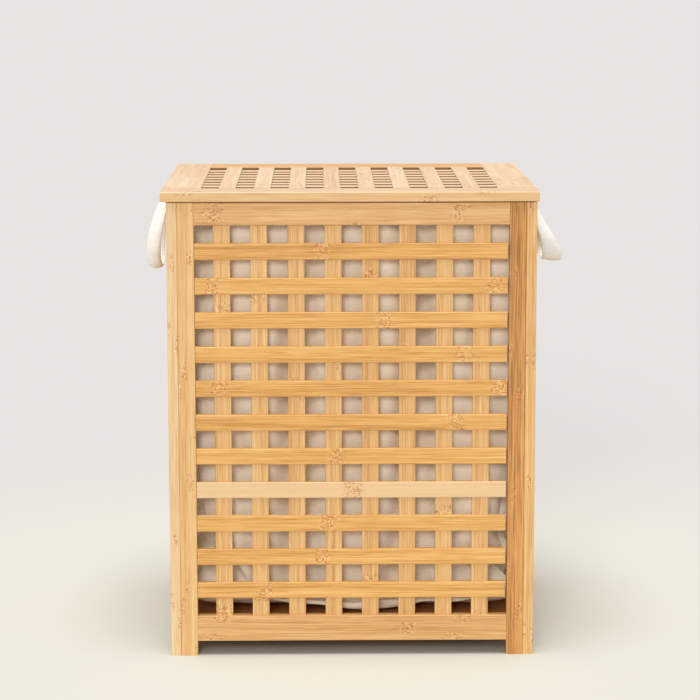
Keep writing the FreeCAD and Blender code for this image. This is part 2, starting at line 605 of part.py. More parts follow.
def outline(body, name, points):
    """A closed sketch on the body's upright XZ plane, each corner held by two bound distances."""
    plane = next(plane for plane in body.Origin.OriginFeatures if plane.Role == "XZ_Plane")
    sketch = body.newObject("Sketcher::SketchObject", name)
    sketch.AttachmentSupport = (plane, [""])
    sketch.MapMode = "FlatFace"
    count = len(points)
    probe = doc.addObject("App::FeaturePython", name + "_probe")
    probe.addProperty("App::PropertyFloat", "Value")
    values = []
    for pair in points:
        for text in pair:
            probe.setExpression("Value", text)
            doc.recompute()
            values.append(probe.Value)
    doc.removeObject(probe.Name)
    places = [FreeCAD.Vector(values[2 * number], values[2 * number + 1], 0) for number in range(count)]
    for number in range(count):
        sketch.addGeometry(Part.LineSegment(places[number], places[(number + 1) % count]), False)
    for number in range(count):
        sketch.addConstraint(Sketcher.Constraint("Coincident", number, 2, (number + 1) % count, 1))
    for number, pair in enumerate(points):
        for kind, value, text in zip(("DistanceX", "DistanceY"), places[number], pair):
            held = sketch.addConstraint(Sketcher.Constraint(kind, -1, 1, number, 1, value))
            sketch.setExpression("Constraints[%d]" % held, text)
    return sketch


def handle_loop(side):
    """A hanging loop: a slanting band with a finger gap between its two strands."""
    body = doc.addObject("PartDesign::Body", "loop_" + side)
    face = HALF_WIDTH
    near = "(%s + sizes.cloth_play)" % TAPE_EDGE
    far = "(%s + sizes.handle_reach)" % face
    low = "(sizes.body_top - sizes.handle_drop)"
    band = [
        (near, "sizes.body_top + sizes.cloth_play / 2"),
        (near + " + sizes.handle_root", "sizes.body_top - 0.6 * sizes.handle_root"),
        (face + " + sizes.handle_crown_reach", "sizes.body_top - sizes.handle_crown_drop"),
        (face + " + sizes.handle_shoulder_reach", "sizes.body_top - sizes.handle_shoulder_drop"),
        (far, low + " + sizes.handle_tip"),
        (far + " - sizes.handle_tip_round", low + " + sizes.handle_tip_round / 2"),
        (far + " - sizes.handle_band", low),
        (far + " - sizes.handle_band", low + " + sizes.handle_fold"),
        (near + " + sizes.handle_root / 2", "sizes.body_top - 2 * sizes.handle_root"),
        (near, "sizes.body_top - sizes.handle_root"),
    ]
    pad = body.newObject("PartDesign::Pad", "loop_band_" + side)
    pad.Profile = outline(body, "loop_side_view_" + side, band)
    pad.setExpression("Length", "sizes.tape_spacing + sizes.tape_width")
    pad.Midplane = True
    gap = [
        (face, low + " + sizes.handle_fold"),
        (far + " + sizes.handle_root", low + " + sizes.handle_fold"),
        (far + " + sizes.handle_root", "sizes.body_top + sizes.handle_root"),
        (face, "sizes.body_top + sizes.handle_root"),
    ]
    pocket = body.newObject("PartDesign::Pocket", "loop_gap_" + side)
    pocket.Profile = outline(body, "loop_gap_view_" + side, gap)
    pocket.setExpression("Length", "sizes.tape_spacing - sizes.tape_width")
    pocket.Midplane = True
    body.Tip = pocket
    if side == "left":
        body.Placement = FreeCAD.Placement(FreeCAD.Vector(), FreeCAD.Rotation(FreeCAD.Vector(0, 0, 1), 180))
    return body


for side in ("left", "right"):
    node("handle_tape_" + side, handle_tape(side))
    node("handle_loop_" + side, handle_loop(side))

# ---------------------------------------------------------------- check and write
doc.recompute()
for thing in doc.Objects:
    if "Invalid" in thing.State or "Error" in thing.State:
        raise RuntimeError("%s did not build: %s" % (thing.Label, thing.State))
os.makedirs("parts", exist_ok=True)
for piece in NODES:
    if piece.Shape.isNull() or not piece.Shape.isValid() or not piece.Shape.Solids:
        raise RuntimeError("%s has no sound shape" % piece.Label)
for piece in NODES:
    piece.Shape.exportStep(os.path.join("parts", piece.Label + ".step"))
print("%d sub-parts, %d solids" % (len(NODES), sum(len(piece.Shape.Solids) for piece in NODES)))
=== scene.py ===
"""The looks of a bamboo laundry hamper: lattice panels and lid, a cotton liner and its tape handles."""
import math

import bpy
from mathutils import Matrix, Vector


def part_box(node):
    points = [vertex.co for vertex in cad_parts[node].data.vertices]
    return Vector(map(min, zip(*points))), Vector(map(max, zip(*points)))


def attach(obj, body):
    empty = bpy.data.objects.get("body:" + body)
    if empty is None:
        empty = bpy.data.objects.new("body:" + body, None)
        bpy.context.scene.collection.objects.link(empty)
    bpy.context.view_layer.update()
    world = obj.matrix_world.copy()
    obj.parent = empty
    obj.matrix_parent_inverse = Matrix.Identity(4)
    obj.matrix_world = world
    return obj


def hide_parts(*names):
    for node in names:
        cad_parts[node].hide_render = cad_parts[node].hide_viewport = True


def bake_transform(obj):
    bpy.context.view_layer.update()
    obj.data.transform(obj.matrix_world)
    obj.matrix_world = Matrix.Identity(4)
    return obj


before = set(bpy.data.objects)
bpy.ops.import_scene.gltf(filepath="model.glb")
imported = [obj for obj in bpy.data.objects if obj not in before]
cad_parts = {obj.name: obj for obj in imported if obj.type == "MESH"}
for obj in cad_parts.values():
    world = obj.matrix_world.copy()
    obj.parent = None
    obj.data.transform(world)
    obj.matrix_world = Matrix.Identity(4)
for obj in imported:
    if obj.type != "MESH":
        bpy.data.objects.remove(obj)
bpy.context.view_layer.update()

# ---------------------------------------------------------------- camera
# A long lens at a little above the lid's height, almost square to the front, turned a touch to the right.
camera = bpy.data.objects.new("camera", bpy.data.cameras.new("camera"))
bpy.context.scene.collection.objects.link(camera)
camera.location = (-0.0338, -2.7881, 0.7594)
camera.rotation_euler = (math.pi / 2 - 0.1607, 0.0011, -0.0123)
camera.data.sensor_width = 36
camera.data.lens = 128.2
camera.data.clip_end = 200
bpy.context.scene.camera = camera

# ---------------------------------------------------------------- floor and light
# A seamless sheet of off-white studio paper with its far edge out of view. Its paler middle is partly the
# paper's tint and partly painted light, lifting the hamper's shade on the paper round and under it.
# A broad source almost overhead, a weaker one in front at 22 degrees up, and a plain pale room all round.
bpy.context.scene.view_settings.view_transform = "Standard"
FLOOR_HALF = 80.0
PAPER = "#C5C2C0"
PAPER_MIDDLE = "#CECDC3"
PALER_WITHIN = 0.20     # the paper has its middle's tint and painted light this far from the hamper's middle
PALER_UNTIL = 1.10      # and its own tint from here on


def linear(colour):
    """An sRGB hex colour as the linear numbers that a shader takes."""
    channels = [int(colour[place:place + 2], 16) / 255 for place in (1, 3, 5)]
    return [c / 12.92 if c <= 0.04045 else ((c + 0.055) / 1.055) ** 2.4 for c in channels] + [1.0]


def add(tree, kind, inputs=None, **settings):
    """One shader node with its settings, its plain values and its links, by socket name or number."""
    node = tree.nodes.new(kind)
    for name, value in settings.items():
        setattr(node, name, value)
    for socket, value in (inputs or {}).items():
        if isinstance(value, bpy.types.NodeSocket):
            tree.links.new(value, node.inputs[socket])
        else:
            node.inputs[socket].default_value = value
    return node


def surface(name):
    """A new material, emptied but for its output: the material and its node tree."""
    material = bpy.data.materials.new(name)
    material.use_nodes = True
    material.node_tree.nodes.clear()
    return material, material.node_tree


def close(tree, shader):
    """Join a finished shader to the material's output."""
    add(tree, "ShaderNodeOutputMaterial", {"Surface": shader.outputs[0]})


paper, tree = surface("studio_paper")
place = add(tree, "ShaderNodeTexCoord")
mottle = add(tree, "ShaderNodeTexNoise", {"Vector": place.outputs["Object"], "Scale": 3.0, "Detail": 3.0})
grey = add(tree, "ShaderNodeMapRange", {"Value": mottle.outputs[0], "To Min": 0.86, "To Max": 0.94})
away = add(tree, "ShaderNodeVectorMath", {0: place.outputs["Object"]}, operation="LENGTH")
tint_and_light_ramp = add(tree, "ShaderNodeMapRange", {
    "Value": away.outputs["Value"], "From Min": PALER_WITHIN, "From Max": PALER_UNTIL},
    interpolation_type="SMOOTHSTEP")
tint_and_light_mix = add(tree, "ShaderNodeMix", {0: tint_and_light_ramp.outputs[0], 6: linear(PAPER_MIDDLE), 7: linear(PAPER)},
           data_type="RGBA")
close(tree, add(tree, "ShaderNodeBsdfPrincipled", {
    "Base Color": tint_and_light_mix.outputs[2], "Roughness": grey.outputs[0], "Specular IOR Level": 0.0}))
floor_mesh = bpy.data.meshes.new("floor")
corners = [(x * FLOOR_HALF, y * FLOOR_HALF, 0) for x, y in ((-1, -1), (1, -1), (1, 1), (-1, 1))]
floor_mesh.from_pydata(corners, [], [(0, 1, 2, 3)])
floor_mesh.materials.append(paper)
floor = bpy.data.objects.new("floor", floor_mesh)
bpy.context.scene.collection.objects.link(floor)

world = bpy.data.worlds.new("room")
world.use_nodes = True
world.node_tree.nodes["Background"].inputs["Color"].default_value = linear("#FFFDFB")
world.node_tree.nodes["Background"].inputs["Strength"].default_value = 0.52
bpy.context.scene.world = world
for name, energy, angle, towards in (("top_light", 2.50, 36, (-0.03, -0.16, 1.0)),
                                     ("front_light", 1.10, 20, (-0.16, -1.0, 0.42))):
    lamp = bpy.data.objects.new(name, bpy.data.lights.new(name, "SUN"))
    lamp.data.energy = energy
    lamp.data.angle = math.radians(angle)
    lamp.rotation_euler = Vector(towards).to_track_quat("Z", "Y").to_euler()
    bpy.context.scene.collection.objects.link(lamp)

# ---------------------------------------------------------------- the four lattice panels
# Planed strips of bamboo, glued up and cut to stiles, rails and slats, with a thin matt lacquer. The level
# slats are halved over the uprights. Bamboo has fine long fibres and, every hand or two, a mottled node.
LACQUER_IOR = 1.5
FIBRE = 0.0011          # one vascular bundle across, drawn at twice its real width so that it shows
FIBRE_RUN = 0.11        # how far a streak of fibres keeps its tone
SEAM = 0.00025          # half the width of the glue line between two strips
NODE_HALF = 0.0115      # half the length of a node's mottled band
SPECK = 0.0026          # a broken bundle in a node


def bamboo(name, grain, tones, strip, piece=(1.0, 1.0, 1.0), origin=(0.0, 0.0, 0.0), knot_pitch=0.33,
           spread=0.5, gloss=0.46, streaks=1.0, coat=0.0, loose=0.9, pale_row=None, edge=None):
    """Lacquered bamboo with its grain along one axis. tones are its deep, middle and pale colours.

    strip is the width of its glued strips. piece and origin cut space into cells, one for each board, so that
    every board has its own tone and its own nodes. spread is how far boards and strips differ in tone, and
    streaks how strong the fibres are. coat is how much thicker the lacquer is. loose is how far apart the
    nodes of neighbouring strips may be, as a share of knot_pitch. pale_row is the cell, counted up, of one
    pale board. edge is painted shade, a tint multiplied into the upright faces of a board that lies flat.
    """
    material, tree = surface(name)

    def number(operation, first, second=0.0, third=0.0, clamp=False):
        made = add(tree, "ShaderNodeMath", {0: first, 1: second, 2: third}, operation=operation)
        made.use_clamp = clamp
        return made.outputs[0]

    place = add(tree, "ShaderNodeTexCoord").outputs["Object"]
    moved = add(tree, "ShaderNodeVectorMath", {0: place, 1: origin}, operation="SUBTRACT")
    cell = add(tree, "ShaderNodeVectorMath", {0: moved.outputs[0], 1: piece}, operation="DIVIDE")
    cell = add(tree, "ShaderNodeVectorMath", {0: cell.outputs[0]}, operation="FLOOR")
    board = add(tree, "ShaderNodeTexWhiteNoise", {"Vector": cell.outputs[0]})
    own = add(tree, "ShaderNodeSeparateXYZ", {0: board.outputs["Color"]})
    inside = add(tree, "ShaderNodeVectorMath", {0: moved.outputs[0], 1: piece}, operation="MODULO")
    axes = add(tree, "ShaderNodeSeparateXYZ", {0: inside.outputs[0]})
    first, second = [axes.outputs[axis] for axis in "XYZ" if axis != grain]

    def whole_strips(most):
        return number("MULTIPLY", number("FLOOR", number("MULTIPLY", own.outputs[1], most)), strip)

    # each board is cut from another place in the bamboo, a whole number of strips across
    shift = number("MULTIPLY", own.outputs[0], 3.0)
    run = number("ADD", axes.outputs[grain], shift)
    across = number("ADD", first, whole_strips(90.0))
    deep = number("ADD", second, whole_strips(70.0))
    strip_cell = add(tree, "ShaderNodeCombineXYZ", {
        0: number("FLOOR", number("DIVIDE", across, strip)),
        1: number("FLOOR", number("DIVIDE", deep, strip)),
        2: shift})
    strip_own = add(tree, "ShaderNodeTexWhiteNoise", {"Vector": strip_cell.outputs[0]})

    def streak(run_length, width, detail, warp=0.0):
        scaled = add(tree, "ShaderNodeCombineXYZ", {
            0: number("DIVIDE", run, run_length),
            1: number("DIVIDE", across, width),
            2: number("DIVIDE", deep, width)})
        return add(tree, "ShaderNodeTexNoise", {
            "Vector": scaled.outputs[0], "Scale": 1.0, "Detail": detail, "Distortion": warp}).outputs[0]

    fibres = streak(FIBRE_RUN, FIBRE, 3.0, 0.3)
    hairs = streak(0.03, FIBRE * 0.5, 2.0)
    bands = streak(0.35, 0.007, 2.0, 0.5)

    # one node to each glued strip and knot_pitch of length, where the fibres part and swirl
    wander = streak(0.016, 0.006, 2.0)
    turn = number("ADD", number("DIVIDE", run, knot_pitch), number("MULTIPLY", strip_own.outputs[0], loose))
    off = number("MULTIPLY", number("ABSOLUTE", number("SUBTRACT", number("FRACT", turn), 0.5)), knot_pitch)
    off = number("ADD", off, number("MULTIPLY", number("SUBTRACT", wander, 0.5), 0.012))
    knot = number("MULTIPLY", number("SUBTRACT", 1.0, number("DIVIDE", off, NODE_HALF)), 2.2, clamp=True)
    swirl = streak(SPECK * 1.7, SPECK, 2.0, 2.4)
    broken = add(tree, "ShaderNodeMapRange", {"Value": swirl, "From Min": 0.50, "From Max": 0.40})
    bright = add(tree, "ShaderNodeMapRange", {"Value": swirl, "From Min": 0.52, "From Max": 0.62})

    # from 0, deep, to 1, pale
    tone = 0.5
    for part, strength in ((fibres, 1.15 * streaks), (hairs, 1.20 * streaks), (bands, 0.70 * streaks),
                           (strip_own.outputs[0], 0.36 * spread), (own.outputs[2], 0.42 * spread)):
        tone = number("MULTIPLY_ADD", number("SUBTRACT", part, 0.5), strength, tone)
    tone = number("MULTIPLY_ADD", knot, 0.10, tone)
    seam = number("DIVIDE", number("PINGPONG", across, strip / 2), SEAM)
    seam = number("SUBTRACT", 1.0, seam, clamp=True)
    tone = number("SUBTRACT", tone, number("MULTIPLY", seam, 0.16), clamp=True)
    wood = add(tree, "ShaderNodeValToRGB", {0: tone})
    ramp = wood.color_ramp
    ramp.elements[0].position, ramp.elements[0].color = 0.12, linear(tones[0])
    ramp.elements[1].position, ramp.elements[1].color = 0.88, linear(tones[2])
    ramp.elements.new(0.5).color = linear(tones[1])
    colour = wood.outputs[0]
    if pale_row is not None:
        row = add(tree, "ShaderNodeSeparateXYZ", {0: cell.outputs[0]})
        chosen = number("MULTIPLY", number("COMPARE", row.outputs["Z"], float(pale_row), 0.1), 0.75)
        paler = add(tree, "ShaderNodeMix", {0: chosen, 6: colour, 7: linear("#E6C79C")}, data_type="RGBA")
        colour = paler.outputs[2]
    for where, strength, tint in ((broken, 0.85, "#AE6220"), (bright, 0.35, "#F6D79E")):
        amount = number("MULTIPLY", number("MULTIPLY", where.outputs[0], knot), strength)
        spotted = add(tree, "ShaderNodeMix", {0: amount, 6: colour, 7: linear(tint)}, data_type="RGBA")
        colour = spotted.outputs[2]
    # painted shade: edge is multiplied into the faces that stand upright, for the shade that gathers on them
    if edge:
        facing = add(tree, "ShaderNodeSeparateXYZ", {0: add(tree, "ShaderNodeTexCoord").outputs["Normal"]})
        upright = number("LESS_THAN", number("ABSOLUTE", facing.outputs[2]), 0.5)
        painted_upright_shade = add(tree, "ShaderNodeMix", {0: upright, 6: colour, 7: linear(edge)}, data_type="RGBA",
                     blend_type="MULTIPLY")
        colour = painted_upright_shade.outputs[2]
    rough = add(tree, "ShaderNodeMapRange", {
        "Value": fibres, "To Min": gloss - 0.06, "To Max": gloss + 0.08})
    raised = number("MULTIPLY_ADD", fibres, 0.4, number("MULTIPLY", hairs, 0.6))
    relief = add(tree, "ShaderNodeBump", {"Height": raised, "Strength": 0.25, "Distance": 0.00010})
    close(tree, add(tree, "ShaderNodeBsdfPrincipled", {
        "Base Color": colour, "Roughness": rough.outputs[0], "IOR": LACQUER_IOR,
        "Coat Weight": coat, "Coat Roughness": 0.40, "Normal": relief.outputs[0]}))
    return material


def give(material, *names):
    """Give CAD nodes a finished material in place of the plain one."""
    for name in names:
        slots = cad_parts[name].data.materials
        for place in range(len(slots)):
            slots[place] = material


HONEY = ("#BC803D", "#DDA658", "#EEC07A")
LIGHT = ("#C0894C", "#DAA96A", "#E9C388")
PALE = ("#CF9F62", "#E2BC88", "#EDD1A8")
DARK = ("#95612B", "#C48846", "#DCA55F")

opening_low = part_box("front_bottom_rail")[1].z
opening_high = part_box("front_top_rail")[0].z
level_low, level_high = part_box("front_level_slats")
LEVEL_COUNT = 11
level_pitch = (level_high.z - level_low.z + (opening_high - level_high.z)) / LEVEL_COUNT
front_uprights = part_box("front_upright_slats")
FRONT_UPRIGHTS = 8
UPRIGHT_WIDTH = 0.0182
front_pitch = (front_uprights[1].x - front_uprights[0].x - UPRIGHT_WIDTH) / (FRONT_UPRIGHTS - 1)
side_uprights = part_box("left_upright_slats")
SIDE_UPRIGHTS = 7
side_pitch = (side_uprights[1].y - side_uprights[0].y - UPRIGHT_WIDTH) / (SIDE_UPRIGHTS - 1)

# each slat is one strip, so its nodes run right across it; the fourth row up is paler than the rest
WHOLE = 0.05
PALE_ROW = 3
BOARD = 0.1             # a cell that holds one stile or rail across, and no other
ALL = 4.0               # a cell that holds the whole hamper, and starts at FAR
FAR = -2.0
level_cell = (ALL, ALL, level_pitch)
level_start = (FAR, FAR, opening_low)
give(bamboo("bamboo_level_front", "X", HONEY, WHOLE, level_cell, level_start, 0.30, spread=0.3,
            pale_row=PALE_ROW),
     "front_level_slats")
give(bamboo("bamboo_level_back", "X", HONEY, WHOLE, level_cell, (-1.3, FAR, opening_low), 0.30),
     "back_level_slats")
give(bamboo("bamboo_level_side", "Y", HONEY, WHOLE, level_cell, level_start, 0.30),
     "left_level_slats", "right_level_slats")

front_cell = (front_pitch, BOARD, ALL)
front_start = (front_uprights[0].x - (front_pitch - UPRIGHT_WIDTH) / 2, 0.0, FAR)
give(bamboo("bamboo_upright_front", "Z", LIGHT, 0.0045, front_cell, front_start, 0.33, loose=0.03),
     "front_upright_slats", "back_upright_slats")
side_cell = (BOARD, side_pitch, ALL)
side_start = (0.0, side_uprights[0].y - (side_pitch - UPRIGHT_WIDTH) / 2, FAR)
give(bamboo("bamboo_upright_side", "Z", LIGHT, 0.0045, side_cell, side_start, 0.33, loose=0.03),
     "left_upright_slats", "right_upright_slats")

# the front right stile was cut from a deeper board, and the left side's front stile from a paler one
stile_cell = (BOARD, BOARD, ALL)
stile_start = (0.0, 0.0, FAR)
give(bamboo("bamboo_stile", "Z", LIGHT, 0.0058, stile_cell, stile_start, 0.24),
     "front_stile_left", "back_stile_left", "back_stile_right", "left_stile_back", "right_stile_back")
give(bamboo("bamboo_stile_deep", "Z", DARK, 0.0042, stile_cell, stile_start, 0.24, streaks=1.2),
     "front_stile_right")
give(bamboo("bamboo_stile_pale", "Z", PALE, 0.0040, stile_cell, stile_start, 0.30), "left_stile_front")
give(bamboo("bamboo_stile_mid", "Z", LIGHT, 0.0040, stile_cell, stile_start, 0.30), "right_stile_front")
rail_cell = (ALL, BOARD, BOARD)
rail_start = (FAR, 0.0, 0.0)
side_rail_cell = (BOARD, ALL, BOARD)
side_rail_start = (0.0, FAR, 0.0)
give(bamboo("bamboo_rail_x", "X", LIGHT, 0.0120, rail_cell, rail_start, 0.26),
     "front_top_rail", "front_bottom_rail", "back_top_rail", "back_bottom_rail")
give(bamboo("bamboo_rail_y", "Y", LIGHT, 0.0120, side_rail_cell, side_rail_start, 0.26),
     "left_top_rail", "left_bottom_rail", "right_top_rail", "right_bottom_rail")

# ---------------------------------------------------------------- the lid
# A frame of wide bamboo boards round a lattice of bars and slats, halved into each other and lacquered.
# Its back rail is given a browner tone than the rest of the lid. The edge tints stand in for shade that gathers
# on upright faces.
# the lid's tones are paler than the body's bamboo: on its flat tops that paleness is painted light and sheen from
# the top light at a grazing view, and the edge tints take it back off the upright faces
SAND_WITH_PAINTED_SHEEN = ("#D2A674", "#E4BF93", "#F0D3AF")
LID_GLOSS = 0.52
LID_COAT = 0.6
LID_BARS = 8
LID_SLAT_PITCH = 0.031
LID_SLAT_START = -0.11
first_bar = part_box("lid_bar_1")[0].x
bar_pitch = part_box("lid_bar_2")[0].x - first_bar
bar_cell = (bar_pitch, ALL, ALL)
bar_start = (first_bar - (bar_pitch - UPRIGHT_WIDTH) / 2, FAR, FAR)
give(bamboo("bamboo_lid_bar", "Y", SAND_WITH_PAINTED_SHEEN, 0.0061, bar_cell, bar_start, 0.40, gloss=LID_GLOSS, coat=LID_COAT,
            edge="#CDBEB0"),
     *["lid_bar_%d" % number for number in range(1, LID_BARS + 1)])
give(bamboo("bamboo_lid_side", "Y", SAND_WITH_PAINTED_SHEEN, 0.0085, stile_cell, stile_start, 0.40, gloss=LID_GLOSS,
            coat=LID_COAT, edge="#E2D6C8"),
     "lid_side_left", "lid_side_right")
give(bamboo("bamboo_lid_front", "X", SAND_WITH_PAINTED_SHEEN, 0.0100, rail_cell, rail_start, 0.32, gloss=LID_GLOSS,
            coat=LID_COAT, edge="#F6ECD0"),
     "lid_rail_front")
give(bamboo("bamboo_lid_back", "X", HONEY, 0.0100, rail_cell, rail_start, 0.32, gloss=LID_GLOSS,
            coat=LID_COAT, edge="#B5A598"),
     "lid_rail_back")
give(bamboo("bamboo_lid_slat", "X", SAND_WITH_PAINTED_SHEEN, 0.0060, (ALL, LID_SLAT_PITCH, ALL), (FAR, LID_SLAT_START, FAR), 0.32,
            edge="#9C8B7E"),
     "lid_cross_slats")

# ---------------------------------------------------------------- the base board, its cleats and the dowels
# A thin board of carbonised bamboo ply, steamed to a brown, on four bamboo cleats screwed to the bottom rails.
# The dowels are turned beech, glued into the frame joints, and hardly show.
COCOA = ("#8C5226", "#AC6C3A", "#C48650")
give(bamboo("bamboo_ply_brown", "X", COCOA, 0.0200, (ALL, ALL, ALL), (FAR, FAR, FAR), 0.35), "base_board")
give(bamboo("bamboo_cleat_x", "X", HONEY, 0.0060, rail_cell, rail_start, 0.35),
     "base_cleat_front", "base_cleat_back")
give(bamboo("bamboo_cleat_y", "Y", HONEY, 0.0060, side_rail_cell, side_rail_start, 0.35),
     "base_cleat_left", "base_cleat_right")
BEECH = ("#C39A6C", "#D9B588", "#E6CAA3")
NO_NODES = 9.0          # a pitch so long that no node comes up
give(bamboo("turned_beech", "X", BEECH, 0.0400, streaks=0.6, knot_pitch=NO_NODES, gloss=0.6),
     "panel_dowels", "lid_dowels")

# ---------------------------------------------------------------- screws and hinges
# Countersunk steel screws, zinc plated, and pressed steel butt hinges, nickel plated: a slightly yellow grey
# with fine lines from the die and a soft shine. The screws hold the panels, the cleats and the hinges.
DRAW_LINE = 0.0004


def plated(name, tint, rough, line):
    """Plated steel with faint lines from its die, each about line across."""
    material, tree = surface(name)
    place = add(tree, "ShaderNodeTexCoord")
    stretched = add(tree, "ShaderNodeMapping", {
        "Vector": place.outputs["Object"], "Scale": (0.05 / line, 1 / line, 1 / line)})
    lines = add(tree, "ShaderNodeTexNoise", {"Vector": stretched.outputs[0], "Scale": 1.0, "Detail": 2.0})
    bloom = add(tree, "ShaderNodeTexNoise", {"Vector": place.outputs["Object"], "Scale": 400.0, "Detail": 3.0})
    shade = add(tree, "ShaderNodeValToRGB", {0: bloom.outputs[0]})
    shade.color_ramp.elements[0].color = linear(tint[0])
    shade.color_ramp.elements[1].color = linear(tint[1])
    gloss = add(tree, "ShaderNodeMapRange", {
        "Value": lines.outputs[0], "To Min": rough - 0.07, "To Max": rough + 0.10})
    relief = add(tree, "ShaderNodeBump", {"Height": lines.outputs[0], "Strength": 0.2, "Distance": 0.00003})
    close(tree, add(tree, "ShaderNodeBsdfPrincipled", {
        "Base Color": shade.outputs[0], "Metallic": 1.0, "Roughness": gloss.outputs[0],
        "Normal": relief.outputs[0]}))
    return material


give(plated("zinc_steel", ("#9C9A93", "#C2C0B8"), 0.36, DRAW_LINE),
     "corner_screws", "cleat_screws", "hinge_body_screws", "hinge_lid_screws")
give(plated("nickel_steel", ("#A5A298", "#CFCCC2"), 0.30, DRAW_LINE),
     "hinge_body_leaf_left", "hinge_body_leaf_right", "hinge_lid_leaf_left", "hinge_lid_leaf_right",
     "hinge_pin_left", "hinge_pin_right")

# ---------------------------------------------------------------- the liner bag
# A bag of unbleached cotton sheeting: one strip of cloth sewn round a flat bottom, with a hem at the rim. It
# hangs loose inside the panels and is a little fuller than they are, so it buckles into soft folds.
THREAD = 0.0009          # plain weave at twice its real thread spacing, so that it shows close up
CLOTH_THICK = 0.0008


def cotton(name, shade, light, thread, crease=0.0):
    """Plain-woven cotton: a matt, slightly fuzzy cloth with crossing threads and uneven slubs."""
    material, tree = surface(name)
    place = add(tree, "ShaderNodeTexCoord")
    axes = add(tree, "ShaderNodeSeparateXYZ", {0: place.outputs["Object"]})
    level = add(tree, "ShaderNodeMath", {0: axes.outputs[0], 1: axes.outputs[1]}, operation="ADD")
    waves = []
    for source in (level.outputs[0], axes.outputs[2]):
        turned = add(tree, "ShaderNodeMath", {0: source, 1: 2 * math.pi / thread}, operation="MULTIPLY")
        waves.append(add(tree, "ShaderNodeMath", {0: turned.outputs[0]}, operation="SINE"))
    weave = add(tree, "ShaderNodeMath", {0: waves[0].outputs[0], 1: waves[1].outputs[0]},
                operation="MULTIPLY")
    slub = add(tree, "ShaderNodeMapping", {"Vector": place.outputs["Object"], "Scale": (60, 60, 900)})
    slubs = add(tree, "ShaderNodeTexNoise", {"Vector": slub.outputs[0], "Scale": 1.0, "Detail": 3.0})
    fuzz = add(tree, "ShaderNodeTexNoise", {"Vector": place.outputs["Object"], "Scale": 30.0, "Detail": 4.0})
    mixed = add(tree, "ShaderNodeMath", {0: slubs.outputs[0], 1: fuzz.outputs[0]}, operation="MULTIPLY")
    spread = add(tree, "ShaderNodeMapRange", {"Value": mixed.outputs[0], "From Min": 0.14, "From Max": 0.36})
    tint = add(tree, "ShaderNodeValToRGB", {0: spread.outputs[0]})
    tint.color_ramp.elements[0].color = linear(shade)
    tint.color_ramp.elements[1].color = linear(light)
    height = add(tree, "ShaderNodeMath", {0: weave.outputs[0], 1: 0.5, 2: slubs.outputs[0]},
                 operation="MULTIPLY_ADD")
    relief = add(tree, "ShaderNodeBump", {"Height": height.outputs[0], "Strength": 0.4, "Distance": 0.00015})
    if crease:
        pressed = add(tree, "ShaderNodeTexNoise", {
            "Vector": place.outputs["Object"], "Scale": 38.0, "Detail": 3.0, "Distortion": 0.6})
        relief = add(tree, "ShaderNodeBump", {
            "Height": pressed.outputs[0], "Strength": crease, "Distance": 0.004, "Normal": relief.outputs[0]})
    rough = add(tree, "ShaderNodeMapRange", {"Value": fuzz.outputs[0], "To Min": 0.82, "To Max": 0.95})
    close(tree, add(tree, "ShaderNodeBsdfPrincipled", {
        "Base Color": tint.outputs[0], "Roughness": rough.outputs[0], "IOR": 1.46,
        "Specular IOR Level": 0.25, "Sheen Weight": 0.25, "Sheen Roughness": 0.5,
        "Normal": relief.outputs[0]}))
    return material


def piece_of(name, points, faces, material):
    """A new smooth mesh object in the scene."""
    mesh = bpy.data.meshes.new(name)
    mesh.from_pydata(points, [], faces)
    mesh.materials.append(material)
    for face in mesh.polygons:
        face.use_smooth = True
    made = bpy.data.objects.new(name, mesh)
    bpy.context.scene.collection.objects.link(made)
    return made


liner_cloth = cotton("cotton_sheeting", "#F7E6CB", "#FFF4E2", THREAD, crease=0.25)
bag_low, bag_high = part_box("liner_bag")
half_x = bag_high.x - CLOTH_THICK
half_y = bag_high.y - CLOTH_THICK
CORNER = 0.016
AROUND = 176
DOWN = 56


def round_the_box(x, y, count, corner):
    """Points evenly spaced round a rectangle with rounded corners, and each one's outward way."""
    straight = [(x - corner) * 2, (y - corner) * 2]
    arc = math.pi / 2 * corner
    total = 2 * sum(straight) + 4 * arc
    centres = [(x - corner, -y + corner), (x - corner, y - corner), (-x + corner, y - corner),
               (-x + corner, -y + corner)]
    places = []
    for number in range(count):
        far = number / count * total
        for side in range(4):
            run = straight[side % 2]
            angle = math.radians(-90 + 90 * side)
            way = Vector((math.cos(angle), math.sin(angle)))
            step = Vector((-way.y, way.x))
            if far <= run:
                places.append((Vector(centres[side - 1]) + way * corner + step * far, way))
                break
            far -= run
            if far <= arc:
                angle += far / corner
                way = Vector((math.cos(angle), math.sin(angle)))
                places.append((Vector(centres[side]) + way * corner, way))
                break
            far -= arc
    return places


def bands(rows):
    """The faces between rows of points that each run once round the bag."""
    faces = []
    for level in range(rows):
        for number in range(AROUND):
            after = (number + 1) % AROUND
            here, below = level * AROUND, (level + 1) * AROUND
            faces.append((here + number, below + number, below + after, here + after))
    return faces


